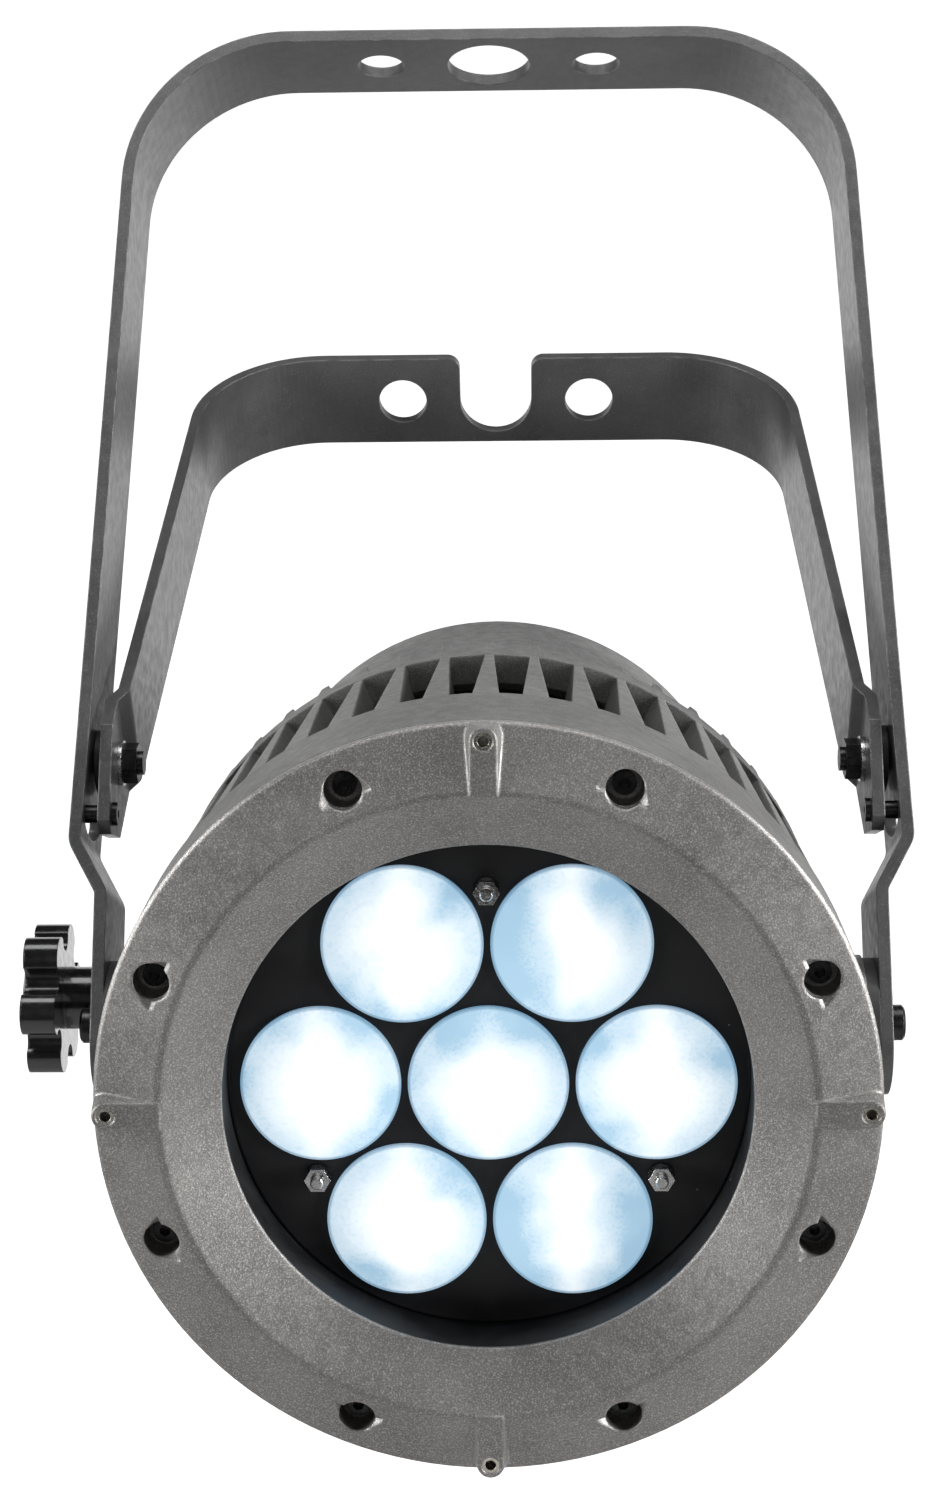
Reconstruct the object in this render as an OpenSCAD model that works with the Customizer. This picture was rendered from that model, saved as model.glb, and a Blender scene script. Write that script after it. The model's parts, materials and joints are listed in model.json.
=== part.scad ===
// LED par can with a zooming lens carriage and a double mounting yoke.
// Units are millimetres. +Z is up along the outer yoke, -Y is the lit side,
// and the origin is the centre of the clamp hole on top of the outer yoke.

/* [Outer yoke] */
// Height from the tilt pivot to the top face of the crossbar
yoke_length = 343; // [325:1:380]
// Width of the flat bar of both yokes
bar_width = 38.4; // [36:0.2:42]
// Thickness of the outer yoke's bar
bar_thickness = 4; // [3.5:0.1:4.5]
// Overall width of the outer yoke above its joggle
yoke_width = 273.5; // [270:0.5:280]
// Diameter of the large centre hole in both crossbars
clamp_hole = 29; // [20:0.5:30]
// Distance from the centre hole to each side hole
side_hole_offset = 38; // [34:0.5:44]
// Diameter of the side holes in the outer crossbar
side_hole = 16.4; // [10:0.1:20]

/* [Inner yoke] */
// Height from the bracket bolts to the top face of the inner crossbar
bracket_length = 245; // [225:1:246]
// Diameter of the side holes in the inner crossbar
bracket_hole = 19.4; // [10:0.1:20]
// Angle between the two yokes
bracket_angle = 40.4; // [0:0.2:40.4]

/* [Head] */
// Angle of the beam below the horizontal
head_tilt = 25; // [-30:1:80]
// Number of cooling struts around the housing
struts = 48; // [24:2:48]
// Length of the rear cover
cover_length = 158; // [150:1:175]
// Number of lobes on the brake knob
knob_lobes = 6; // [4:1:7]

/* [Optics] */
// Distance between neighbouring lenses
lens_pitch = 50.8; // [50:0.1:51.5]
// Diameter of each lens
lens_diameter = 48.8; // [40:0.2:49.4]
// Depth of the lens plate behind the front of the housing
plate_depth = 28.2; // [22:0.2:34]

/* [Hidden] */
$fn = 96;
// Pivot of the head, seen from the front centre of the ring
pivot_depth = 86;
pivot_drop = 1.5;
// Outer yoke
joggle_low = 41.5;
joggle_high = 58;
lower_half = 127.75;
upper_half = yoke_width / 2;
top_half = upper_half - 13.4;
yoke_bend = 55;
arm_end = 4;
bracket_pivot = 87.5;
// Inner yoke
tab_half = 127.6;
bracket_foot_half = 124.3;
bracket_top_half = 117.2;
bracket_thickness = 4;
bracket_bend = 48;
pin_radius = 22.8;
pin_angle = 9.3;
slot_half = 3.3;
slot_front = 31.1;
slot_back = 34;
// Head, all depths counted back from the front of the ring
ring_radius = 116.5;
face_inner = 96;
face_slope = 6.4;
recess_radius = 79;
recess_depth = 11;
ring_back = 8.8;
ring_screw_radius = 105.3;
counterbore = 11.2;
counterbore_depth = 14;
boss_radius = 112;
band_front = 9.4;
band_back = 40.6;
fin_front = 41;
strut_front = 50;
strut_back = 124;
rim_back = 138;
rim_radius = 113.6;
cover_front = 138.4;
cover_radius = 95.5;
cover_back = cover_front + cover_length;
panel_depth = cover_back - 3.8;
nut_radius = 60.5;
nut_angles = [90, 210, 330];
base_front = 78;
knob_back = 13.4;
knob_rise = 10.6;
knob_start = 0.8;

lens_spots = [[-0.5, 1], [0.5, 1], [-1, 0], [0, 0], [1, 0], [-0.5, -1], [0.5, -1]];
function lens_xy(i) = [lens_spots[i][0] * lens_pitch, -lens_spots[i][1] * lens_pitch * sqrt(3) / 2];
function nut_xy(a) = [nut_radius * cos(a), -nut_radius * sin(a)];

// ---------- placing ----------

// Carries a part drawn about the barrel axis (z = depth, y = down) to the head
module head() {
    translate([0, 0, -yoke_length])
        rotate([head_tilt, 0, 0])
            translate([0, -pivot_depth, pivot_drop])
                rotate([-90, 0, 0])
                    children();
}

// Carries a part drawn about the bracket bolts (z = up the arms) to its place
module bracket() {
    translate([0, 0, bracket_pivot - yoke_length])
        rotate([-bracket_angle, 0, 0])
            children();
}

// Repeats a part drawn on the +X side on both sides
module both_sides() {
    children();
    mirror([1, 0, 0])
        children();
}

// Points a part drawn along +Z to +X
module along_x(x) {
    translate([x, 0, 0])
        rotate([0, 90, 0])
            children();
}

// ---------- shapes ----------

module tube(outer, inner, height) {
    difference() {
        cylinder(r = outer, h = height);
        translate([0, 0, -1])
            cylinder(r = inner, h = height + 2);
    }
}

module hex(flats, height) {
    cylinder(r = flats / sqrt(3), h = height, $fn = 6);
}

function unit(v) = v / norm(v);
function perp(v) = [-v[1], v[0]];
function turn(a, b) = a[0] * b[1] - a[1] * b[0];

function spin(v, a) = [v[0] * cos(a) - v[1] * sin(a), v[0] * sin(a) + v[1] * cos(a)];

// Points of one bend at p[i], offset by d to the left of the middle line
function bend_points(p, r, i, d) =
    let (u = unit(p[i] - p[i - 1]), w = unit(p[i + 1] - p[i]),
         side = turn(u, w) > 0 ? 1 : -1,
         a = acos(u * w),
         steps = ceil(a / 3.5),
         centre = p[i] - u * r[i] * tan(a / 2) + perp(u) * side * r[i])
    [for (k = [0:steps]) centre - spin(perp(u), side * a * k / steps) * (side * r[i] - d)];

// The middle line moved d to its left, with its bends
function side_line(p, r, d) =
    let (n = len(p) - 1, u = unit(p[1] - p[0]), w = unit(p[n] - p[n - 1]))
    concat([p[0] + perp(u) * d],
           [for (i = [1:n - 1]) for (q = bend_points(p, r, i, d)) q],
           [p[n] + perp(w) * d]);

function reversed(p) = [for (i = [len(p) - 1:-1:0]) p[i]];

// A flat bar of thickness t and the full bar width, bent along the points p with the radii r
module bent_bar(p, r, t) {
    rotate([90, 0, 0])
        linear_extrude(height = bar_width, center = true)
            polygon(concat(side_line(p, r, t / 2), reversed(side_line(p, r, -t / 2))));
}

function flip(p) = [for (i = [len(p) - 1:-1:0]) [-p[i][0], p[i][1]]];

// ---------- yokes ----------

module outer_yoke() {
    t = bar_thickness;
    side = [[lower_half - t / 2, -40], [lower_half - t / 2, joggle_low],
            [upper_half - t / 2, joggle_high], [top_half - t / 2, yoke_length - t / 2]];
    radii = [0, 5, 7, yoke_bend];
    color([0.27, 0.27, 0.28])
        translate([0, 0, -yoke_length])
            difference() {
                intersection() {
                    bent_bar(concat(side, flip(side)), concat(radii, reversed(radii)), t);
                    rotate([90, 0, 90])
                        linear_extrude(height = 300, center = true) {
                            translate([-bar_width / 2, -arm_end])
                                square([bar_width, yoke_length + 40]);
                            translate([0, -arm_end])
                                circle(d = bar_width);
                        }
                }
                translate([0, 0, yoke_length - 10])
                    cylinder(d = clamp_hole, h = 20);
                for (x = [-side_hole_offset, side_hole_offset])
                    translate([x, 0, yoke_length - 10])
                        cylinder(d = side_hole, h = 20);
                for (m = [0, 1])
                    mirror([m, 0, 0])
                        arm_holes();
                rotate([0, -90, 0])
                    translate([knob_rise, knob_back, 100])
                        cylinder(r = 4.06, h = 50);
            }
}

// Holes in the outer yoke's right arm
module arm_holes() {
    along_x(100)
        cylinder(r = 4.06, h = 50);
    translate([0, 0, bracket_pivot]) {
        along_x(100)
            cylinder(r = 4.06, h = 50);
        along_x(lower_half + 5.6)
            cylinder(r1 = 4.06, r2 = 12.06, h = 8);
        rotate([90, 0, 90])
            linear_extrude(height = 200)
                pin_slot();
    }
}

// Arc slot under the bracket bolt; x is back and y is up
module pin_slot() {
    intersection() {
        difference() {
            circle(r = pin_radius + slot_half);
            circle(r = pin_radius - slot_half);
        }
        polygon([[0, 0], [-80 * sin(slot_front), -80 * cos(slot_front)],
                 [0, -110], [80 * sin(slot_back), -80 * cos(slot_back)]]);
    }
    for (a = [-slot_front, slot_back])
        translate([pin_radius * sin(a), -pin_radius * cos(a)])
            circle(r = slot_half);
}

module inner_yoke() {
    t = bracket_thickness;
    side = [[tab_half - t / 2, -40], [tab_half - t / 2, 9.6], [bracket_foot_half - t / 2, 15.4],
            [bracket_top_half - t / 2, bracket_length - t / 2]];
    radii = [0, 4, 4, bracket_bend];
    half = bar_width / 2;
    color([0.25, 0.25, 0.26])
        bracket()
            difference() {
                intersection() {
                    bent_bar(concat(side, flip(side)), concat(radii, reversed(radii)), t);
                    rotate([90, 0, 90])
                        linear_extrude(height = 300, center = true)
                            polygon([[-half, 300], [-half, -4], [0.5, -29.5], [6.5, -29.5],
                                     [half, -16], [half, 300]]);
                }
                translate([0, 0, bracket_length - 10])
                    cylinder(d = clamp_hole, h = 20);
                translate([-clamp_hole / 2, -half - 1, bracket_length - 10])
                    cube([clamp_hole, half + 1, 20]);
                for (x = [-side_hole_offset, side_hole_offset])
                    translate([x, 0, bracket_length - 10])
                        cylinder(d = bracket_hole, h = 20);
                for (m = [0, 1])
                    mirror([m, 0, 0]) {
                        notch_corner();
                        along_x(100)
                            cylinder(r = 4.06, h = 50);
                        bracket_pin_spot(100)
                            cylinder(r = 3.05, h = 50);
                    }
            }
}

// Rounds the front corner of the U-notch
module notch_corner() {
    r = 5;
    translate([clamp_hole / 2, -bar_width / 2, bracket_length - 10])
        linear_extrude(height = 20)
            difference() {
                translate([-1, -1])
                    square([r + 1, r + 1]);
                translate([r, r])
                    circle(r = r);
            }
}

// Places a pin along +X where it rides in the arc slot
module bracket_pin_spot(x) {
    translate([x, pin_radius * sin(pin_angle), -pin_radius * cos(pin_angle)])
        rotate([0, 90, 0])
            children();
}

module bracket_bolts() {
    color([0.05, 0.05, 0.05])
        both_sides()
            translate([0, 0, bracket_pivot - yoke_length]) {
                along_x(115.6)
                    cylinder(r = 4, h = lower_half + 5.6 - 115.6);
                along_x(lower_half + 5.6)
                    cylinder(r1 = 4, r2 = 5.98, h = 1.98);
            }
}

module bracket_nuts() {
    color([0.05, 0.05, 0.05])
        both_sides()
            translate([0, 0, bracket_pivot - yoke_length])
                along_x(117.4)
                    difference() {
                        hex(12, 4.8);
                        translate([0, 0, -1])
                            cylinder(r = 4.03, h = 8);
                    }
}

module bracket_washers() {
    color([0.55, 0.55, 0.56])
        both_sides()
            translate([0, 0, bracket_pivot - yoke_length])
                along_x(122.25)
                    tube(7.6, 4.05, 1.3);
}

module bracket_pins() {
    color([0.05, 0.05, 0.05])
        bracket()
            both_sides() {
                bracket_pin_spot(121.8)
                    difference() {
                        cylinder(r = 3.9, h = 1.8);
                        translate([0, 0, -1])
                            hex(2.5, 2);
                    }
                bracket_pin_spot(123.6)
                    cylinder(r = 2.95, h = 10.4);
            }
}

module bracket_spacers() {
    color([0.08, 0.08, 0.08])
        both_sides()
            translate([0, 0, bracket_pivot - yoke_length])
                along_x(127.7)
                    tube(11, 4.05, 2.9);
}

module pivot_bolts() {
    color([0.05, 0.05, 0.05])
        both_sides()
            translate([0, 0, -yoke_length]) {
                along_x(103)
                    cylinder(r = 4, h = lower_half - 103 + 0.8);
                along_x(lower_half + 0.1)
                    tube(5.8, 3.9, 0.7);
                along_x(lower_half + 0.8)
                    difference() {
                        union() {
                            cylinder(r = 5.8, h = 4.4);
                            translate([0, 0, 4.4])
                                cylinder(r1 = 5.8, r2 = 5, h = 0.8);
                        }
                        translate([0, 0, 2.4])
                            hex(5, 4);
                    }
            }
}

module friction_discs() {
    color([0.12, 0.12, 0.12])
        both_sides()
            translate([0, 0, -yoke_length])
                along_x(119.7)
                    tube(21, 4.06, 3.95);
}

// ---------- brake knob ----------

// Carries a part drawn along +Z outward from the left arm
module at_knob() {
    translate([-lower_half, knob_back, knob_rise - yoke_length])
        rotate([0, -90, 0])
            children();
}

module knob() {
    lobe = 7.2;
    reach = 18;
    color([0.04, 0.04, 0.045])
        at_knob()
            difference() {
                union() {
                    translate([0, 0, knob_start])
                        cylinder(r = 10.4, h = 13.4 - knob_start);
                    translate([0, 0, 13.4])
                        linear_extrude(height = 11.2) {
                            circle(r = reach);
                            for (i = [0:knob_lobes - 1])
                                rotate(i * 360 / knob_lobes + 8)
                                    translate([reach, 0])
                                        circle(r = lobe);
                        }
                    translate([0, 0, 24.6])
                        cylinder(r1 = 15, r2 = 12.5, h = 1.4);
                }
                for (i = [0:knob_lobes - 1])
                    rotate((i + 0.5) * 360 / knob_lobes + 8)
                        translate([reach + 2.6, 0, 12])
                            cylinder(r = 4.4, h = 16);
                cylinder(r = 4.03, h = 12);
            }
}

module knob_stud() {
    color([0.7, 0.7, 0.72])
        at_knob()
            translate([0, 0, -4])
                cylinder(r = 4, h = 15.9);
}

// ---------- front of the head ----------

module front_ring() {
    color([0.45, 0.44, 0.43])
        head()
            difference() {
                union() {
                    rotate_extrude()
                        polygon([[face_inner, 0.5], [face_inner + 1.6, 0.5],
                                 [ring_radius - 0.8, face_slope - 0.3],
                                 [ring_radius, face_slope + 0.5], [ring_radius, ring_back],
                                 [111.2, ring_back], [111.2, 16], [97, 16], [85, 12],
                                 [recess_radius, 12], [recess_radius, recess_depth],
                                 [face_inner - 0.8, 0.9]]);
                    for (a = [0:90:270])
                        rotate(a)
                            accessory_boss();
                }
                for (a = [0:45:315])
                    rotate(a + 22.5)
                        translate([ring_screw_radius, 0, 0]) {
                            translate([0, 0, -2])
                                cylinder(d = counterbore, h = counterbore_depth + 2);
                            cylinder(d = 4.6, h = 30);
                            translate([0, 0, 2.9])
                                rotate([0, 17.2, 0])
                                    translate([0, 0, -1.3])
                                        cylinder(d1 = counterbore + 5.2, d2 = counterbore, h = 2.6);
                        }
                for (a = [0:90:270])
                    rotate(a)
                        translate([boss_radius, 0, -1])
                            cylinder(r = 2.65, h = 9);
            }
}

// Flat-topped boss with drafted sides, on the +X side
module accessory_boss() {
    intersection() {
        union() {
            translate([boss_radius, 0, 0])
                cylinder(r1 = 4, r2 = 6.4, h = ring_back);
            translate([face_inner, 0, 0])
                rotate([90, 0, 90])
                    linear_extrude(height = boss_radius - face_inner)
                        polygon([[-4, 0], [4, 0], [6.4, ring_back], [-6.4, ring_back]]);
        }
        cylinder(r = ring_radius - 0.4, h = 20);
    }
}

module ring_screws() {
    color([0.1, 0.1, 0.1])
        head()
            for (a = [0:45:315])
                rotate(a + 22.5)
                    translate([ring_screw_radius, 0, counterbore_depth - 4])
                        difference() {
                            union() {
                                cylinder(r = 3.5, h = 4);
                                cylinder(r = 2, h = 20);
                            }
                            translate([0, 0, -1])
                                hex(3, 3.2);
                        }
}

module boss_inserts() {
    color([0.75, 0.74, 0.7])
        head()
            for (a = [0:90:270])
                rotate(a)
                    translate([boss_radius, 0, 0.2])
                        tube(2.6, 1.65, 7.4);
}

module front_gasket() {
    color([0.03, 0.03, 0.03])
        head()
            translate([0, 0, ring_back])
                tube(114.8, 112.2, band_front - ring_back);
}

module front_housing() {
    color([0.42, 0.42, 0.41])
        head()
            difference() {
                union() {
                    rotate_extrude()
                        polygon([[111.6, band_front], [ring_radius - 0.4, band_front],
                                 [ring_radius, band_front + 0.4], [ring_radius, band_back - 0.6],
                                 [ring_radius - 0.6, band_back], [100, band_back],
                                 [100, band_back - 4], [111.6, band_back - 4]]);
                    for (a = [0:45:315])
                        rotate(a + 22.5)
                            translate([ring_screw_radius, 0, 16.4])
                                cylinder(r = 5.4, h = band_back - 18);
                    for (a = [0:45:315])
                        rotate(a + 22.5)
                            translate([ring_screw_radius, -2, 16.4])
                                cube([8, 4, band_back - 18]);
                }
                for (a = [0:45:315])
                    rotate(a + 22.5)
                        translate([ring_screw_radius, 0, 15])
                            cylinder(r = 2.05, h = 18);
            }
}

module light_shield() {
    color([0.02, 0.02, 0.02])
        head()
            translate([0, 0, 12.3])
                tube(83, recess_radius + 0.3, base_front - 2.2 - 12.3);
}

// ---------- zoom carriage ----------

module lens_plate() {
    color([0.03, 0.03, 0.035])
        head()
            translate([0, 0, plate_depth])
                difference() {
                    cylinder(r = recess_radius - 0.6, h = 3);
                    for (i = [0:6])
                        translate([lens_xy(i)[0], lens_xy(i)[1], -1])
                            cylinder(r = lens_diameter / 2 - 1.1, h = 5);
                    for (a = nut_angles)
                        translate([nut_xy(a)[0], nut_xy(a)[1], -1])
                            cylinder(r = 2.1, h = 5);
                }
}

// One lens: domed face, rim and a tapered body with a pocket at the back
module lens(i) {
    r = lens_diameter / 2;
    dome = 83;
    sag = 3.6;
    color([0.85, 0.92, 1])
        head()
            translate([lens_xy(i)[0], lens_xy(i)[1], plate_depth])
                difference() {
                    union() {
                        translate([0, 0, -1.4])
                            cylinder(r = r, h = 1.4);
                        intersection() {
                            translate([0, 0, dome - 1.4 - sag])
                                sphere(r = dome);
                            translate([0, 0, -1.4 - sag])
                                cylinder(r = r - 0.5, h = sag + 0.4);
                        }
                        cylinder(r1 = r - 1.2, r2 = 13, h = 13);
                    }
                    translate([0, 0, 7])
                        cylinder(r = 8.5, h = 8);
                }
}

module carriage_washers() {
    color([0.1, 0.1, 0.1])
        head()
            for (a = nut_angles)
                translate([nut_xy(a)[0], nut_xy(a)[1], plate_depth - 0.8])
                    tube(4.1, 2.1, 0.8);
}

module carriage_nuts() {
    color([0.8, 0.8, 0.8])
        head()
            for (a = nut_angles)
                translate([nut_xy(a)[0], nut_xy(a)[1], plate_depth - 4])
                    difference() {
                        hex(7, 3.2);
                        translate([0, 0, -1])
                            cylinder(r = 2.03, h = 6);
                    }
}

module zoom_rods() {
    color([0.7, 0.7, 0.7])
        head()
            for (a = nut_angles)
                translate([nut_xy(a)[0], nut_xy(a)[1], plate_depth - 6.4]) {
                    cylinder(r1 = 1.6, r2 = 2, h = 0.5);
                    translate([0, 0, 0.5])
                        cylinder(r = 2, h = 94);
                }
}

module guide_plate() {
    color([0.05, 0.05, 0.05])
        head()
            difference() {
                union() {
                    translate([0, 0, 62])
                        cylinder(r = recess_radius - 1, h = 2.5);
                    for (a = [0:60:300])
                        rotate(a)
                            translate([74, 0, 64])
                                cylinder(r = 3, h = base_front - 2 - 64);
                }
                for (i = [0:6])
                    translate([lens_xy(i)[0], lens_xy(i)[1], 60])
                        cylinder(r = 6.6, h = 6);
                for (a = nut_angles)
                    translate([nut_xy(a)[0], nut_xy(a)[1], 60])
                        cylinder(r = 2.06, h = 6);
            }
}

module light_guides() {
    color([0.9, 0.95, 1])
        head()
            for (i = [0:6])
                translate([lens_xy(i)[0], lens_xy(i)[1], 57.5])
                    cylinder(r1 = 6.5, r2 = 4, h = 16);
}

module leds() {
    color([0.95, 0.95, 0.8])
        head()
            for (i = [0:6])
                translate([lens_xy(i)[0], lens_xy(i)[1], base_front - 2]) {
                    translate([-4.5, -4.5, -1.2])
                        cube([9, 9, 1.2]);
                    translate([0, 0, -2])
                        cylinder(r1 = 2.4, r2 = 3.4, h = 0.8);
                }
}

module led_board() {
    color([0.85, 0.85, 0.82])
        head()
            translate([0, 0, base_front - 2])
                difference() {
                    cylinder(r = 84, h = 2);
                    for (a = nut_angles)
                        translate([nut_xy(a)[0], nut_xy(a)[1], -1])
                            cylinder(r = 4, h = 4);
                }
}

module zoom_motors() {
    color([0.6, 0.6, 0.62])
        head()
            for (a = nut_angles)
                translate([nut_xy(a)[0], nut_xy(a)[1], base_front + 8]) {
                    difference() {
                        union() {
                            cylinder(r = 11, h = 18);
                            translate([0, 0, 18])
                                cylinder(r = 5, h = 2.5);
                        }
                        translate([0, 0, -1])
                            cylinder(r = 2.06, h = 30);
                    }
                }
}

// ---------- cooling and housing ----------

module heat_sink() {
    fins = struts / 2;
    color([0.3, 0.3, 0.31])
        head()
            translate([0, 0, base_front])
                difference() {
                    union() {
                        cylinder(r = 101, h = 8);
                        translate([0, 0, 5])
                            linear_extrude(height = 39)
                                difference() {
                                    union() {
                                        circle(r = 32);
                                        for (i = [0:fins - 1])
                                            rotate((i + 0.5) * 360 / fins)
                                                translate([30, -1])
                                                    square([69, 2]);
                                    }
                                    for (a = nut_angles)
                                        translate(nut_xy(a))
                                            circle(r = 12.5);
                                }
                    }
                    for (a = nut_angles)
                        translate([nut_xy(a)[0], nut_xy(a)[1], -1])
                            cylinder(r = 4, h = 10);
                }
}

module finned_housing() {
    color([0.4, 0.4, 0.39])
        head()
            difference() {
                union() {
                    rotate_extrude()
                        polygon([[101.5, fin_front], [115.4, fin_front], [115.9, fin_front + 0.5],
                                 [115.9, strut_front], [113.6, strut_front + 3],
                                 [104, strut_front + 3], [101.5, strut_front]]);
                    intersection() {
                        for (i = [0:struts - 1])
                            rotate(i * 360 / struts)
                                strut();
                        rotate_extrude()
                            polygon([[101.6, 40], [115.8, 40], [115.8, strut_front],
                                     [rim_radius - 0.2, strut_back + 4], [101.6, strut_back + 4]]);
                    }
                    rotate_extrude()
                        polygon([[66, 134], [101.6, 134], [101.6, strut_back + 1],
                                 [104, strut_back], [rim_radius, strut_back + 0.5],
                                 [rim_radius, rim_back - 1.5], [rim_radius - 1.5, rim_back],
                                 [66, rim_back]]);
                    intersection() {
                        for (i = [0:struts - 1])
                            rotate(i * 360 / struts)
                                tail_fin();
                        rotate_extrude()
                            polygon([[96.4, rim_back - 2], [rim_radius - 0.4, rim_back - 2],
                                     [rim_radius - 0.4, rim_back + 10],
                                     [106, rim_back + 17], [96.4, rim_back + 20]]);
                    }
                    both_sides()
                        pivot_boss();
                }
                for (m = [0, 1])
                    mirror([m, 0, 0])
                        translate([0, pivot_drop, pivot_depth])
                            along_x(102)
                                cylinder(r = 4.05, h = 30);
                for (a = [45:90:315])
                    rotate(a)
                        translate([74.25, 0, 130])
                            cylinder(r = 2.05, h = 12);
            }
}

// One tapered cooling strut on the +X side
module strut() {
    translate([101.6, 0, 0])
        rotate([90, 0, 90])
            linear_extrude(height = 16)
                polygon([[-4.1, strut_front - 2], [4.1, strut_front - 2],
                         [1.3, strut_back + 3], [-1.3, strut_back + 3]]);
}

// One tapered fin end standing behind the rim, on the +X side
module tail_fin() {
    translate([96, 0, 0])
        rotate([90, 0, 90])
            linear_extrude(height = 20)
                polygon([[-2.4, rim_back - 3], [2.4, rim_back - 3],
                         [0.6, rim_back + 21], [-0.6, rim_back + 21]]);
}

module pivot_boss() {
    translate([0, pivot_drop, pivot_depth])
        along_x(104)
            union() {
                cylinder(r = 22, h = 15.7);
                cylinder(r = 25, h = 11);
            }
}

module fan_frame() {
    color([0.03, 0.03, 0.03])
        head()
            translate([0, 0, rim_back])
                difference() {
                    union() {
                        difference() {
                            translate([-59.7, -59.7, 0])
                                cube([119.4, 119.4, 25]);
                            translate([0, 0, -1])
                                cylinder(r = 57.5, h = 27);
                        }
                        translate([0, 0, 21])
                            cylinder(r = 20, h = 4);
                        for (a = [0:90:270])
                            rotate(a + 20)
                                translate([18, -2, 21])
                                    cube([40, 4, 4]);
                        for (a = [45:90:315])
                            rotate(a)
                                translate([70, 0, 0])
                                    cylinder(r = 8, h = 4);
                    }
                    for (a = [45:90:315])
                        rotate(a)
                            translate([74.25, 0, -1])
                                cylinder(r = 2.2, h = 30);
                    for (a = [45:90:315])
                        rotate(a)
                            translate([84.5, -20, -1])
                                cube([20, 40, 30]);
                }
}

module fan_rotor() {
    color([0.06, 0.06, 0.06])
        head()
            translate([0, 0, rim_back + 1.5]) {
                cylinder(r = 20, h = 19);
                for (i = [0:6])
                    rotate(i * 360 / 7)
                        translate([18, 0, 9.5])
                            rotate([38, 0, 0])
                                translate([0, -1, -8])
                                    cube([36.5, 2, 16]);
            }
}

module fan_screws() {
    color([0.6, 0.6, 0.6])
        head()
            for (a = [45:90:315])
                rotate(a)
                    translate([74.25, 0, rim_back - 4])
                        union() {
                            cylinder(r = 2, h = 29);
                            translate([0, 0, 29])
                                cylinder(r = 3.6, h = 2.2);
                        }
}

module power_supply() {
    color([0.7, 0.71, 0.72])
        head()
            translate([0, 0, 176]) {
                translate([-55, -58, 0])
                    cube([110, 52, 40]);
                for (x = [-48, 40])
                    translate([x, -6.2, 4])
                        cube([8, 5, 32]);
            }
}

module control_board() {
    color([0.05, 0.3, 0.12])
        head()
            translate([-60, 18, 190]) {
                cube([120, 1.6, 70]);
                for (x = [12, 44, 76])
                    translate([x, 1.5, 14])
                        cube([18, 9, 18]);
                translate([20, 1.5, 46])
                    cube([60, 5, 14]);
            }
}

// ---------- rear ----------

module rear_cover() {
    edge = 6;
    color([0.38, 0.38, 0.37])
        head()
            difference() {
                rotate_extrude()
                    difference() {
                        union() {
                            translate([60, cover_front])
                                square([cover_radius - 60, cover_length - edge]);
                            translate([60, cover_front])
                                square([cover_radius - edge - 60, cover_length]);
                            translate([cover_radius - edge, cover_back - edge])
                                circle(r = edge);
                        }
                        translate([50, cover_front - 1])
                            square([cover_radius - 3 - 50, cover_length - edge + 1]);
                        translate([50, cover_front - 1])
                            square([cover_radius - edge - 50, cover_length - 2]);
                        translate([cover_radius - edge, cover_back - edge])
                            circle(r = edge - 3);
                        translate([50, cover_back - 10])
                            square([22, 20]);
                    }
                for (a = [30:60:330])
                    rotate(a)
                        translate([84, 0, cover_back - 6])
                            cylinder(r = 1.6, h = 10);
            }
}

module cover_screws() {
    color([0.12, 0.12, 0.12])
        head()
            for (a = [30:60:330])
                rotate(a)
                    translate([84, 0, cover_back - 9])
                        union() {
                            cylinder(r = 1.5, h = 9.1);
                            difference() {
                                translate([0, 0, 9.1])
                                    cylinder(r1 = 3.2, r2 = 2.6, h = 1.8);
                                translate([0, 0, 9.9])
                                    hex(2, 3);
                            }
                        }
}

module rear_gasket() {
    color([0.03, 0.03, 0.03])
        head()
            translate([0, 0, panel_depth])
                tube(80, 73, 0.8);
}

// Places something on the rear panel, x to the right and up as seen from the front
module on_panel(x, up) {
    translate([x, -up, panel_depth])
        children();
}

button_x = [-27, -9, 9, 27];
socket_x = [-43, -14.5, 14.5, 43];

module rear_panel() {
    color([0.1, 0.1, 0.1])
        head()
            difference() {
                translate([0, 0, panel_depth - 2.5])
                    cylinder(r = 88, h = 2.5);
                for (a = [30:60:330])
                    rotate(a)
                        translate([84, 0, panel_depth - 4])
                            cylinder(r = 1.6, h = 8);
                on_panel(0, 24)
                    translate([-26, -10, -4])
                        cube([52, 20, 8]);
                for (x = button_x)
                    on_panel(x, 2)
                        translate([0, 0, -4])
                            cylinder(r = 4.5, h = 8);
                for (i = [0:3])
                    on_panel(socket_x[i], -28)
                        translate([0, 0, -4])
                            cylinder(r = 11.1, h = 8);
                on_panel(0, 56)
                    translate([0, 0, -4])
                        cylinder(r = 4.05, h = 8);
            }
}

module display() {
    color([0.02, 0.04, 0.06])
        head()
            on_panel(0, 24) {
                translate([-25.9, -9.9, -2.5])
                    cube([51.8, 19.8, 2.9]);
                translate([-28, -12, -5.5])
                    cube([56, 24, 3]);
            }
}

module menu_button(i) {
    color([0.15, 0.15, 0.16])
        head()
            on_panel(button_x[i], 2) {
                translate([0, 0, -4.4])
                    cylinder(r = 5.4, h = 1.6);
                translate([0, 0, -3])
                    cylinder(r = 4.1, h = 5);
                translate([0, 0, 2])
                    cylinder(r1 = 4.1, r2 = 3.5, h = 0.6);
            }
}

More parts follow.
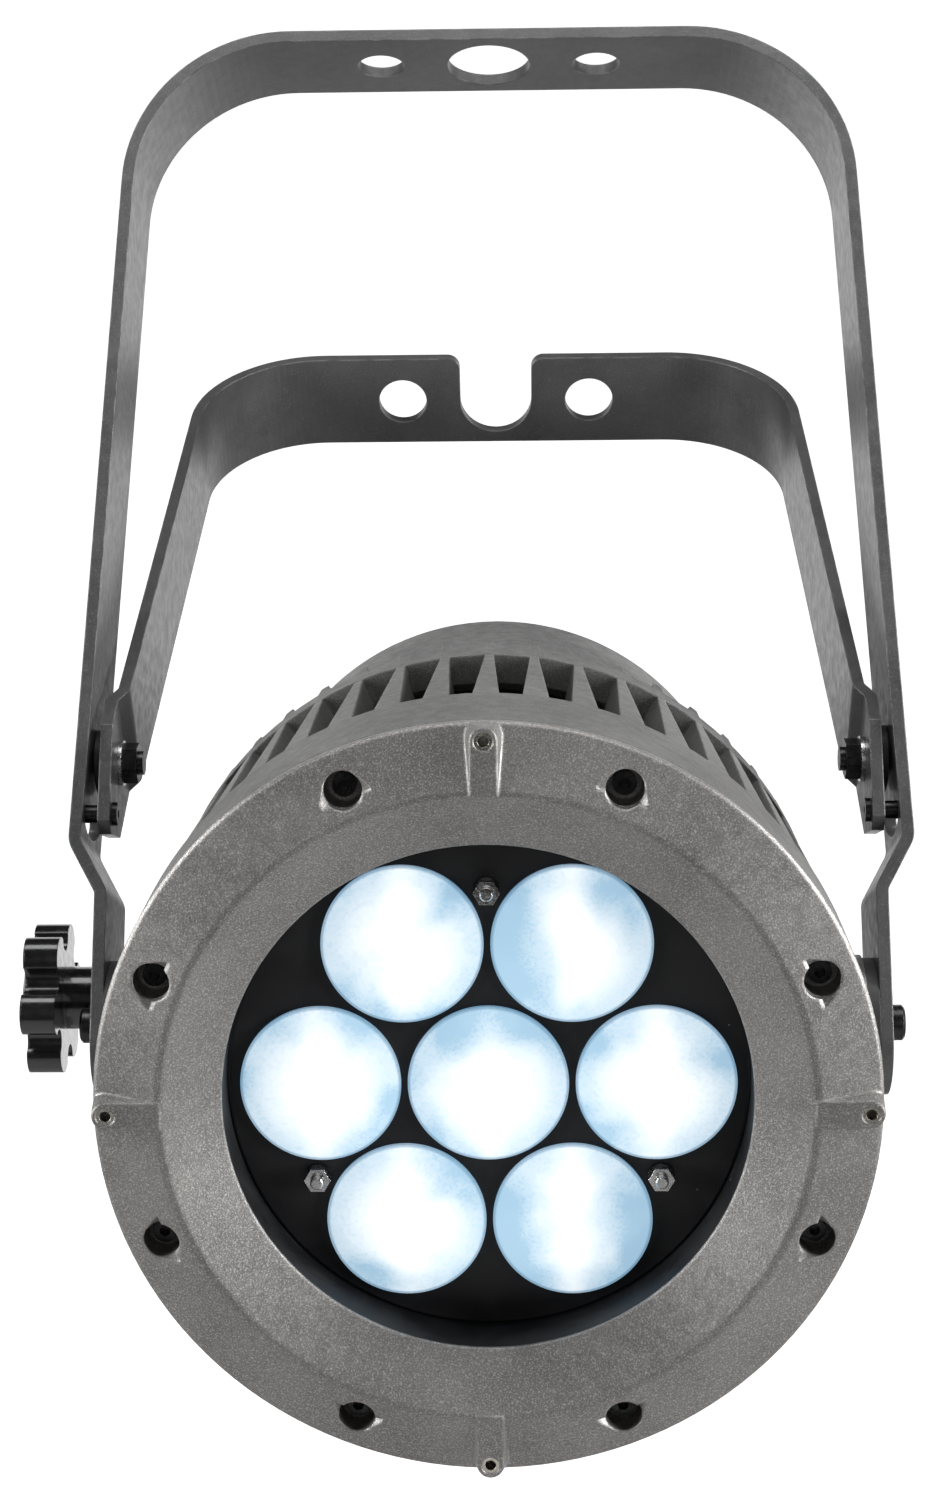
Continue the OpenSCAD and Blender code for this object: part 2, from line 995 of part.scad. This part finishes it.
// A round chassis socket with a keyed collar
module socket(i, pins, tint) {
    color(tint)
        head()
            on_panel(socket_x[i], -28)
                difference() {
                    union() {
                        translate([0, 0, -18])
                            cylinder(r = 11, h = 18);
                        cylinder(r = 13.2, h = 2.2);
                        translate([0, 0, 2.2])
                            cylinder(r = 11.4, h = 4);
                    }
                    translate([0, 0, -6])
                        difference() {
                            cylinder(r = 9.4, h = 16);
                            translate([0, 0, -1])
                                cylinder(r = 6.2, h = 11);
                        }
                    for (k = [0:pins - 1])
                        rotate(k * 360 / pins + 90)
                            translate([3.6, 0, -4])
                                cylinder(r = 0.9, h = 20);
                }
}

module power_in() {
    socket(0, 3, [0.1, 0.2, 0.5]);
}

module data_in() {
    socket(1, 5, [0.08, 0.08, 0.08]);
}

module data_out() {
    socket(2, 5, [0.08, 0.08, 0.08]);
}

module power_out() {
    socket(3, 3, [0.6, 0.6, 0.6]);
}

module safety_eye() {
    color([0.72, 0.72, 0.74])
        head()
            on_panel(0, 56) {
                translate([0, 0, -14])
                    cylinder(r = 4, h = 15);
                cylinder(r = 7.5, h = 2);
                cylinder(r = 4.6, h = 6);
                translate([0, 0, 16])
                    rotate([0, 90, 0])
                        rotate_extrude()
                            translate([11, 0])
                                circle(r = 3);
            }
}

// ---------- nodes ----------

outer_yoke();
inner_yoke();
bracket_bolts();
bracket_nuts();
bracket_washers();
bracket_pins();
bracket_spacers();
pivot_bolts();
friction_discs();
knob();
knob_stud();
front_ring();
ring_screws();
boss_inserts();
front_gasket();
front_housing();
light_shield();
lens_plate();
for (i = [1:7])
    lens(i - 1);
carriage_washers();
carriage_nuts();
zoom_rods();
guide_plate();
light_guides();
leds();
led_board();
zoom_motors();
heat_sink();
finned_housing();
fan_frame();
fan_rotor();
fan_screws();
power_supply();
control_board();
rear_cover();
cover_screws();
rear_gasket();
rear_panel();
display();
for (i = [1:4])
    menu_button(i - 1);
power_in();
power_out();
data_in();
data_out();
safety_eye();
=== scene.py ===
import json
import math

import bmesh
import bpy
from mathutils import Matrix, Vector

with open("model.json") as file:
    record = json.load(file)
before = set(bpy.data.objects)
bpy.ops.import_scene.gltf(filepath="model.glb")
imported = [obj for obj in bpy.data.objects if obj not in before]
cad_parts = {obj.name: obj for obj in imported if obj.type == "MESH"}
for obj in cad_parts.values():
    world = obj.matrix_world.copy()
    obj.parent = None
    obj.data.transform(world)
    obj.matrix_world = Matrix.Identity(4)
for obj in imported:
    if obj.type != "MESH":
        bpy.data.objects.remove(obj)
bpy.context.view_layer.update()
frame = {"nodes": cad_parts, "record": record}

nodes = frame["nodes"]

# Head frame of the CAD model, in metres: the tilt pivot, and the beam's tilt below the horizon.
TILT = math.radians(25)
PIVOT = Vector((0, 0, -0.343))
PIVOT_DEPTH = 0.086
PIVOT_DROP = 0.0015
HEAD_TURN = Matrix.Rotation(TILT, 3, "X")


def head_point(x, depth, up):
    """A point of the head, from its distance right, behind the ring's front, and up."""
    return PIVOT + HEAD_TURN @ Vector((x, depth - PIVOT_DEPTH, up + PIVOT_DROP))


# ---------- material building ----------


class Nodes:
    """A small helper that adds and links shader nodes."""

    def __init__(self, name):
        self.mat = bpy.data.materials.new(name)
        self.mat.use_nodes = True
        self.tree = self.mat.node_tree
        self.tree.nodes.clear()
        self.out = self.tree.nodes.new("ShaderNodeOutputMaterial")
        self.bsdf = self.tree.nodes.new("ShaderNodeBsdfPrincipled")
        self.link(self.bsdf.outputs[0], self.out.inputs["Surface"])
        coord = self.tree.nodes.new("ShaderNodeTexCoord")
        self.where = coord.outputs["Object"]

    def link(self, a, b):
        self.tree.links.new(a, b)

    def set(self, **values):
        for key, value in values.items():
            self.bsdf.inputs[key.replace("_", " ")].default_value = value

    def noise(self, size, detail=3.0, rough=0.55, distort=0.0, where=None):
        """Noise whose features are about size metres across."""
        n = self.tree.nodes.new("ShaderNodeTexNoise")
        n.inputs["Scale"].default_value = 1 / size
        n.inputs["Detail"].default_value = detail
        n.inputs["Roughness"].default_value = rough
        n.inputs["Distortion"].default_value = distort
        self.link(where or self.where, n.inputs["Vector"])
        return n.outputs["Fac"]

    def cells(self, size):
        """Voronoi cells about size metres across."""
        n = self.tree.nodes.new("ShaderNodeTexVoronoi")
        n.inputs["Scale"].default_value = 1 / size
        self.link(self.where, n.inputs["Vector"])
        return n

    def stretch(self, x, y, z):
        """Object coordinates scaled along each axis, for directional marks."""
        n = self.tree.nodes.new("ShaderNodeMapping")
        n.inputs["Scale"].default_value = (x, y, z)
        self.link(self.where, n.inputs["Vector"])
        return n.outputs["Vector"]

    def span(self, value, low, high, to_low=0.0, to_high=1.0):
        """Maps low..high smoothly to to_low..to_high, and clamps outside it."""
        n = self.tree.nodes.new("ShaderNodeMapRange")
        n.interpolation_type = "SMOOTHSTEP"
        n.inputs["From Min"].default_value = low
        n.inputs["From Max"].default_value = high
        n.inputs["To Min"].default_value = to_low
        n.inputs["To Max"].default_value = to_high
        self.link(value, n.inputs["Value"])
        return n.outputs["Result"]

    def math(self, how, a, b):
        n = self.tree.nodes.new("ShaderNodeMath")
        n.operation = how
        n.use_clamp = how in ("ADD", "MULTIPLY", "SUBTRACT")
        for socket, value in zip(n.inputs, (a, b)):
            if isinstance(value, (int, float)):
                socket.default_value = value
            else:
                self.link(value, socket)
        return n.outputs[0]

    def mix(self, fac, a, b):
        n = self.tree.nodes.new("ShaderNodeMix")
        n.data_type = "RGBA"
        self.link(fac, n.inputs["Factor"])
        for socket, value in ((n.inputs[6], a), (n.inputs[7], b)):
            if isinstance(value, (tuple, list)):
                socket.default_value = (*value[:3], 1)
            else:
                self.link(value, socket)
        return n.outputs[2]

    def edges(self, radius):
        """1 on outer edges, 0 elsewhere, broken up by noise: marks the edges painted lighter, partly
        worn coat and partly a painted edge highlight.
        """
        bevel = self.tree.nodes.new("ShaderNodeBevel")
        bevel.samples = 4
        bevel.inputs["Radius"].default_value = radius
        geo = self.tree.nodes.new("ShaderNodeNewGeometry")
        dot = self.tree.nodes.new("ShaderNodeVectorMath")
        dot.operation = "DOT_PRODUCT"
        self.link(bevel.outputs[0], dot.inputs[0])
        self.link(geo.outputs["Normal"], dot.inputs[1])
        sharp = self.span(dot.outputs["Value"], 0.96, 0.78)
        patch = self.span(self.noise(0.009, 4), 0.42, 0.6)
        return self.math("MULTIPLY", sharp, patch)

    def bump(self, parts, rounding=0.0):
        """Stacks bumps given as (height, depth in metres) on an optional rounded edge."""
        last = None
        if rounding:
            bevel = self.tree.nodes.new("ShaderNodeBevel")
            bevel.samples = 4
            bevel.inputs["Radius"].default_value = rounding
            last = bevel.outputs[0]
        for height, depth in parts:
            n = self.tree.nodes.new("ShaderNodeBump")
            n.inputs["Distance"].default_value = depth
            n.inputs["Strength"].default_value = 1.0
            self.link(height, n.inputs["Height"])
            if last is not None:
                self.link(last, n.inputs["Normal"])
            last = n.outputs[0]
        self.link(last, self.bsdf.inputs["Normal"])


def powder(name, light, dark, metallic=0.0, rough=(0.45, 0.6), grain=0.0005, depth=0.00005,
           sparkle=(0.55, 0.55, 0.55), sparkle_at=0.7, edge_wear_and_highlight=None, rounding=0.0006, specular=0.5):
    """Powder coat: orange-peel grain, sparkling flakes, cloudy colour, and lighter outer edges that
    are partly worn coat and partly a painted edge highlight.
    """
    n = Nodes(name)
    n.set(Metallic=metallic, Specular_IOR_Level=specular)
    cloud = n.span(n.noise(0.035, 4), 0.35, 0.65)
    color = n.mix(cloud, dark, light)
    fine = n.noise(grain, 2, 0.7)
    flakes = n.math("MULTIPLY", n.span(fine, sparkle_at - 0.22, sparkle_at), 0.6)
    color = n.mix(flakes, color, sparkle)
    pits = n.span(fine, 0.42, 0.26)
    color = n.mix(n.math("MULTIPLY", pits, 0.55), color, tuple(c * 0.4 for c in dark))
    # Outer edges painted in a lighter colour: partly worn coat, partly a painted highlight along the
    # edges.
    if edge_wear_and_highlight:
        color = n.mix(n.edges(0.0011), color, edge_wear_and_highlight)
    n.link(color, n.bsdf.inputs["Base Color"])
    n.link(n.span(n.noise(0.004, 4), 0.3, 0.7, *rough), n.bsdf.inputs["Roughness"])
    n.bump([(fine, depth), (n.noise(grain * 3.4, 2), depth * 1.2)], rounding)
    return n.mat


def metal(name, light, dark, rough=(0.22, 0.4), streak=(1, 1, 1), depth=0.00002, rounding=0.0002):
    """Plated or turned metal with fine directional marks and dull patches."""
    n = Nodes(name)
    n.set(Metallic=1.0)
    marks = n.noise(0.0009, 4, 0.6, where=n.stretch(*streak))
    patch = n.noise(0.006, 4)
    n.link(n.mix(n.span(patch, 0.3, 0.7), dark, light), n.bsdf.inputs["Base Color"])
    n.link(n.span(marks, 0.3, 0.7, *rough), n.bsdf.inputs["Roughness"])
    n.bump([(marks, depth)], rounding)
    return n.mat


def plastic(name, light, dark, rough=(0.35, 0.5), grain=0.0006, depth=0.00003, rounding=0.0005,
            specular=0.5, coat=0.0):
    """Moulded plastic: fine grain, faint flow marks and uneven gloss."""
    n = Nodes(name)
    n.set(Specular_IOR_Level=specular, Coat_Weight=coat, Coat_Roughness=0.08)
    flow = n.noise(0.012, 3, 0.5, 0.6)
    n.link(n.mix(n.span(flow, 0.3, 0.7), dark, light), n.bsdf.inputs["Base Color"])
    n.link(n.span(n.noise(0.003, 4), 0.3, 0.7, *rough), n.bsdf.inputs["Roughness"])
    n.bump([(n.noise(grain, 2, 0.6), depth)], rounding)
    return n.mat


def dusty_black(name, light, dark, rough=(0.42, 0.62), dust=(0.3, 0.3, 0.3)):
    """Satin black sheet with a few dust specks and faint wipe marks."""
    n = Nodes(name)
    n.set(Specular_IOR_Level=0.4)
    wipe = n.noise(0.02, 4, 0.6, 0.4)
    color = n.mix(n.span(wipe, 0.35, 0.65), dark, light)
    cell = n.cells(0.0045)
    speck = n.span(cell.outputs["Distance"], 0.075, 0.05)
    rare = n.span(n.noise(0.005, 1), 0.6, 0.66)
    color = n.mix(n.math("MULTIPLY", speck, rare), color, dust)
    n.link(color, n.bsdf.inputs["Base Color"])
    n.link(n.span(wipe, 0.3, 0.7, *rough), n.bsdf.inputs["Roughness"])
    n.bump([(n.noise(0.0005, 2), 0.000015)], 0.0003)
    return n.mat


def glow(name, centre, turn, seed):
    """A lit lens: white core with a soft upright streak, cloudy edges turning blue."""
    n = Nodes(name)
    mapping = n.tree.nodes.new("ShaderNodeMapping")
    mapping.vector_type = "TEXTURE"
    mapping.inputs["Location"].default_value = centre
    mapping.inputs["Rotation"].default_value = (TILT, 0, 0)
    n.link(n.where, mapping.inputs["Vector"])
    split = n.tree.nodes.new("ShaderNodeSeparateXYZ")
    n.link(mapping.outputs[0], split.inputs[0])
    flat = n.tree.nodes.new("ShaderNodeCombineXYZ")
    n.link(split.outputs["X"], flat.inputs["X"])
    n.link(split.outputs["Z"], flat.inputs["Y"])
    length = n.tree.nodes.new("ShaderNodeVectorMath")
    length.operation = "LENGTH"
    n.link(flat.outputs[0], length.inputs[0])
    radius = length.outputs["Value"]
    spun = n.tree.nodes.new("ShaderNodeMapping")
    spun.inputs["Location"].default_value = (seed * 0.31, seed * 0.17, seed * 0.05)
    spun.inputs["Rotation"].default_value = (0, 0, turn)
    n.link(flat.outputs[0], spun.inputs["Vector"])
    cloud = n.noise(0.026, 2, 0.45, 0.2, where=spun.outputs[0])
    fine = n.noise(0.0011, 3, 0.6, 0.2, where=spun.outputs[0])
    side = n.math("ABSOLUTE", split.outputs["X"], 0)
    streak = n.span(side, 0.0085, 0.0)
    core = n.span(radius, 0.021, 0.004)
    rim = n.span(radius, 0.014, 0.0244)
    bright = n.math("MULTIPLY", n.span(cloud, 0.28, 0.62), 0.62)
    bright = n.math("ADD", bright, n.math("MULTIPLY", streak, 0.34))
    bright = n.math("ADD", bright, n.math("MULTIPLY", core, 0.5))
    bright = n.math("SUBTRACT", bright, n.math("MULTIPLY", rim, 0.2))
    haze = n.math("MULTIPLY", n.span(fine, 0.42, 0.7), 0.16)
    bright = n.math("SUBTRACT", bright, haze)
    color = n.mix(bright, (0.33, 0.52, 0.68), (0.95, 0.985, 1.0))
    edge = n.span(radius, 0.0232, 0.0241)
    color = n.mix(n.math("MULTIPLY", edge, 0.75), color, (0.07, 0.18, 0.3))
    n.link(color, n.bsdf.inputs["Emission Color"])
    n.link(n.mix(bright, (0.25, 0.35, 0.4), (0.5, 0.55, 0.58)), n.bsdf.inputs["Base Color"])
    n.set(Emission_Strength=0.97, Specular_IOR_Level=0.5, Coat_Weight=0.4, Coat_Roughness=0.04)
    n.link(n.span(n.noise(0.003, 3), 0.3, 0.7, 0.12, 0.26), n.bsdf.inputs["Roughness"])
    n.bump([(n.noise(0.004, 2), 0.00003)])
    return n.mat


def board(name):
    """Circuit board: solder mask with a faint copper pattern under it."""
    n = Nodes(name)
    n.set(Specular_IOR_Level=0.5)
    cell = n.cells(0.006)
    track = n.span(cell.outputs["Distance"], 0.35, 0.45)
    color = n.mix(track, (0.015, 0.13, 0.045), (0.03, 0.2, 0.075))
    n.link(color, n.bsdf.inputs["Base Color"])
    n.link(n.span(n.noise(0.002, 3), 0.3, 0.7, 0.25, 0.42), n.bsdf.inputs["Roughness"])
    n.bump([(track, 0.00003)])
    return n.mat


# The edge colours given to the powder coats paint outer edges lighter: partly worn coat, partly a
# painted edge highlight.
MATERIALS = {
    "yoke_coat": powder("yoke_powder_coat", (0.065, 0.065, 0.066), (0.047, 0.047, 0.048),
                        rough=(0.32, 0.44), depth=0.000025, sparkle=(0.17, 0.17, 0.17),
                        sparkle_at=0.76, edge_wear_and_highlight=(0.2, 0.2, 0.195), specular=0.75),
    "ring_coat": powder("ring_powder_coat", (0.24, 0.23, 0.222), (0.19, 0.182, 0.176),
                        metallic=0.6, rough=(0.38, 0.48), depth=0.00004,
                        sparkle=(0.6, 0.59, 0.57), edge_wear_and_highlight=(0.5, 0.49, 0.475), rounding=0.0013),
    "body_coat": powder("body_powder_coat", (0.135, 0.133, 0.13), (0.101, 0.1, 0.098),
                        metallic=0.3, rough=(0.42, 0.54), depth=0.00004,
                        sparkle=(0.28, 0.28, 0.275), edge_wear_and_highlight=(0.24, 0.24, 0.235), rounding=0.0009),
    "black_steel": metal("blackened_steel", (0.06, 0.06, 0.062), (0.03, 0.03, 0.032),
                         (0.26, 0.42)),
    "bright_steel": metal("bright_steel", (0.78, 0.78, 0.77), (0.55, 0.55, 0.55), (0.15, 0.32)),
    "knob_plastic": plastic("knob_plastic", (0.012, 0.012, 0.013), (0.006, 0.006, 0.007),
                            (0.12, 0.26), coat=0.6, depth=0.00002, rounding=0.0011),
    "friction_plastic": plastic("friction_plastic", (0.03, 0.03, 0.031), (0.018, 0.018, 0.019),
                                (0.5, 0.65)),
    "gasket": plastic("seal_rubber", (0.02, 0.02, 0.02), (0.012, 0.012, 0.012), (0.7, 0.85),
                      specular=0.25),
    "shield_black": dusty_black("shield_black", (0.014, 0.014, 0.015), (0.008, 0.008, 0.009)),
    "plate_black": dusty_black("plate_black", (0.016, 0.016, 0.018), (0.009, 0.009, 0.011)),
    "brass": metal("insert_metal", (0.72, 0.69, 0.62), (0.5, 0.47, 0.4), (0.2, 0.36)),
    "guide_glass": plastic("guide_acrylic", (0.8, 0.86, 0.9), (0.7, 0.78, 0.84), (0.06, 0.14),
                           depth=0.00001),
    "led_yellow": plastic("emitter_phosphor", (0.75, 0.68, 0.3), (0.6, 0.52, 0.2), (0.4, 0.6)),
    "board_white": plastic("white_solder_mask", (0.75, 0.75, 0.73), (0.66, 0.66, 0.64), (0.3, 0.45)),
    "motor_steel": metal("motor_can", (0.5, 0.5, 0.52), (0.36, 0.36, 0.38), (0.3, 0.45)),
    "sink_alloy": powder("black_anodised", (0.028, 0.028, 0.03), (0.016, 0.016, 0.018),
                         rough=(0.4, 0.55), grain=0.0005, depth=0.00002,
                         sparkle=(0.06, 0.06, 0.06), rounding=0.0003),
    "fan_plastic": plastic("fan_plastic", (0.022, 0.022, 0.023), (0.014, 0.014, 0.015), (0.4, 0.55)),
    "psu_case": metal("power_supply_case", (0.7, 0.71, 0.72), (0.56, 0.57, 0.58), (0.3, 0.45)),
    "board_green": board("control_board_mask"),
    "panel_black": powder("panel_black_coat", (0.026, 0.026, 0.028), (0.018, 0.018, 0.02),
                          rough=(0.4, 0.52), grain=0.0005, depth=0.00003,
                          sparkle=(0.07, 0.07, 0.07), edge_wear_and_highlight=(0.1, 0.1, 0.1)),
    "screen": plastic("display_window", (0.012, 0.018, 0.026), (0.008, 0.012, 0.018), (0.04, 0.09),
                      depth=0.000004, coat=1.0),
    "button_plastic": plastic("button_plastic", (0.05, 0.05, 0.053), (0.036, 0.036, 0.039),
                              (0.38, 0.52)),
    "socket_blue": plastic("socket_blue", (0.02, 0.07, 0.34), (0.012, 0.045, 0.24), (0.3, 0.44)),
    "socket_grey": plastic("socket_grey", (0.36, 0.36, 0.37), (0.28, 0.28, 0.29), (0.32, 0.46)),
    "socket_black": plastic("socket_black", (0.024, 0.024, 0.025), (0.015, 0.015, 0.016), (0.3, 0.44)),
}

LENS_PITCH = 0.0508
LENS_DEPTH = 0.0282
LENS_PLACES = ((-0.5, 1), (0.5, 1), (-1, 0), (0, 0), (1, 0), (-0.5, -1), (0.5, -1))
LENS_SPIN = 0.9


def lens_centre(i):
    across, row = LENS_PLACES[i]
    return head_point(across * LENS_PITCH, LENS_DEPTH, row * LENS_PITCH * math.sqrt(3) / 2)


def dress(obj, mat):
    """Puts one material on every slot of an object."""
    if not obj.data.materials:
        obj.data.materials.append(mat)
    for k in range(len(obj.data.materials)):
        obj.data.materials[k] = mat


for part in frame["record"]["subparts"]:
    if part["node"] in nodes and part["material_slot"] in MATERIALS:
        dress(nodes[part["node"]], MATERIALS[part["material_slot"]])
for i in range(len(LENS_PLACES)):
    lens_glow = glow(f"lens_glow_{i + 1}", lens_centre(i), LENS_SPIN * i, i + 1)
    dress(nodes[f"lens_{i + 1}"], lens_glow)

# ---------- stage ----------


def mesh_object(name, bm):
    mesh = bpy.data.meshes.new(name)
    bm.to_mesh(mesh)
    bm.free()
    obj = bpy.data.objects.new(name, mesh)
    bpy.context.scene.collection.objects.link(obj)
    return obj


def sweep(name, profile, half_width):
    """A sheet that follows a (y, z) profile, square across."""
    bm = bmesh.new()
    rows = [[bm.verts.new((x, y, z)) for x in (-half_width, half_width)] for y, z in profile]
    for low, high in zip(rows, rows[1:]):
        bm.faces.new((low[0], low[1], high[1], high[0]))
    obj = mesh_object(name, bm)
    for p in obj.data.polygons:
        p.use_smooth = True
    return obj


FLOOR_Z = -1.3
FLOOR_FRONT, FLOOR_BACK = -0.9, 3.2
FLOOR_HALF_WIDTH = 3.6
WALL_HALF_WIDTH = 4.5
WALL_TOP = 5.0
BEND = 0.9

floor = sweep("studio_floor", [(FLOOR_FRONT, FLOOR_Z), (0, FLOOR_Z), (FLOOR_BACK, FLOOR_Z)],
              FLOOR_HALF_WIDTH)
dress(floor, plastic("floor_paper", (0.5, 0.5, 0.497), (0.46, 0.46, 0.457), (0.7, 0.85),
                     grain=0.004, depth=0.00004, specular=0.2))

bend_steps = (math.radians(6 * k) for k in range(16))
curve = [(FLOOR_BACK + BEND * math.sin(a), FLOOR_Z + BEND * (1 - math.cos(a))) for a in bend_steps]
wall_y = FLOOR_BACK + BEND
wall = sweep("backdrop", curve + [(wall_y, 1.5), (wall_y, WALL_TOP)], WALL_HALF_WIDTH)
paper = Nodes("backdrop_white")
paper.set(Roughness=0.9, Emission_Strength=0.95)
tone = paper.mix(paper.noise(0.6, 2), (0.98, 0.98, 0.98), (1, 1, 1))
paper.link(tone, paper.bsdf.inputs["Emission Color"])
paper.link(tone, paper.bsdf.inputs["Base Color"])
dress(wall, paper.mat)

# ---------- light ----------

PART_MIDDLE = Vector((0, 0, -0.35))


def softbox(name, place, width, height, power):
    """A rectangular area lamp that faces the middle of the part."""
    data = bpy.data.lights.new(name, "AREA")
    data.shape = "RECTANGLE"
    data.size, data.size_y = width, height
    data.energy = power
    lamp = bpy.data.objects.new(name, data)
    lamp.location = place
    aim = PART_MIDDLE - Vector(place)
    lamp.rotation_euler = aim.to_track_quat("-Z", "Y").to_euler()
    bpy.context.scene.collection.objects.link(lamp)


softbox("top_softbox", (0.0, -0.5, 0.55), 1.2, 0.4, 7)
softbox("side_left", (-1.2, -0.4, -0.2), 0.4, 1.0, 21)
softbox("side_right", (1.2, -0.4, -0.2), 0.4, 1.0, 28)
softbox("low_front", (0.0, -1.3, -0.5), 0.6, 0.6, 1)

world = bpy.data.worlds.new("studio")
bpy.context.scene.world = world
world.use_nodes = True
background = world.node_tree.nodes["Background"]
background.inputs["Color"].default_value = (1, 1, 1, 1)
background.inputs["Strength"].default_value = 0.035

# ---------- camera ----------

CAMERA_PLACE = head_point(0.01355, -0.68908, 0.26714)
CAMERA_ANGLES = (-12.87, -1.41, -0.67)
LENS_MM = 60.13
SENSOR_MM = 36

data = bpy.data.cameras.new("camera")
data.lens = LENS_MM
data.sensor_width = SENSOR_MM
data.sensor_fit = "AUTO"
data.clip_start, data.clip_end = 0.01, 50
camera = bpy.data.objects.new("camera", data)
bpy.context.scene.collection.objects.link(camera)
bpy.context.scene.camera = camera
# Pitch, yaw and roll are measured in the head frame.
pitch, yaw, roll = (math.radians(a) for a in CAMERA_ANGLES)
forward = Vector((math.sin(yaw) * math.cos(pitch), math.cos(yaw) * math.cos(pitch),
                  math.sin(pitch)))
level = Vector((math.cos(yaw), -math.sin(yaw), 0))
upright = level.cross(forward)
right = level * math.cos(roll) + upright * math.sin(roll)
up = upright * math.cos(roll) - level * math.sin(roll)
turn = Matrix((right, up, -forward)).transposed()
camera.rotation_mode = "QUATERNION"
camera.rotation_quaternion = (HEAD_TURN @ turn).to_quaternion()
camera.location = CAMERA_PLACE
bpy.context.scene.view_settings.view_transform = "Standard"

bpy.context.view_layer.update()
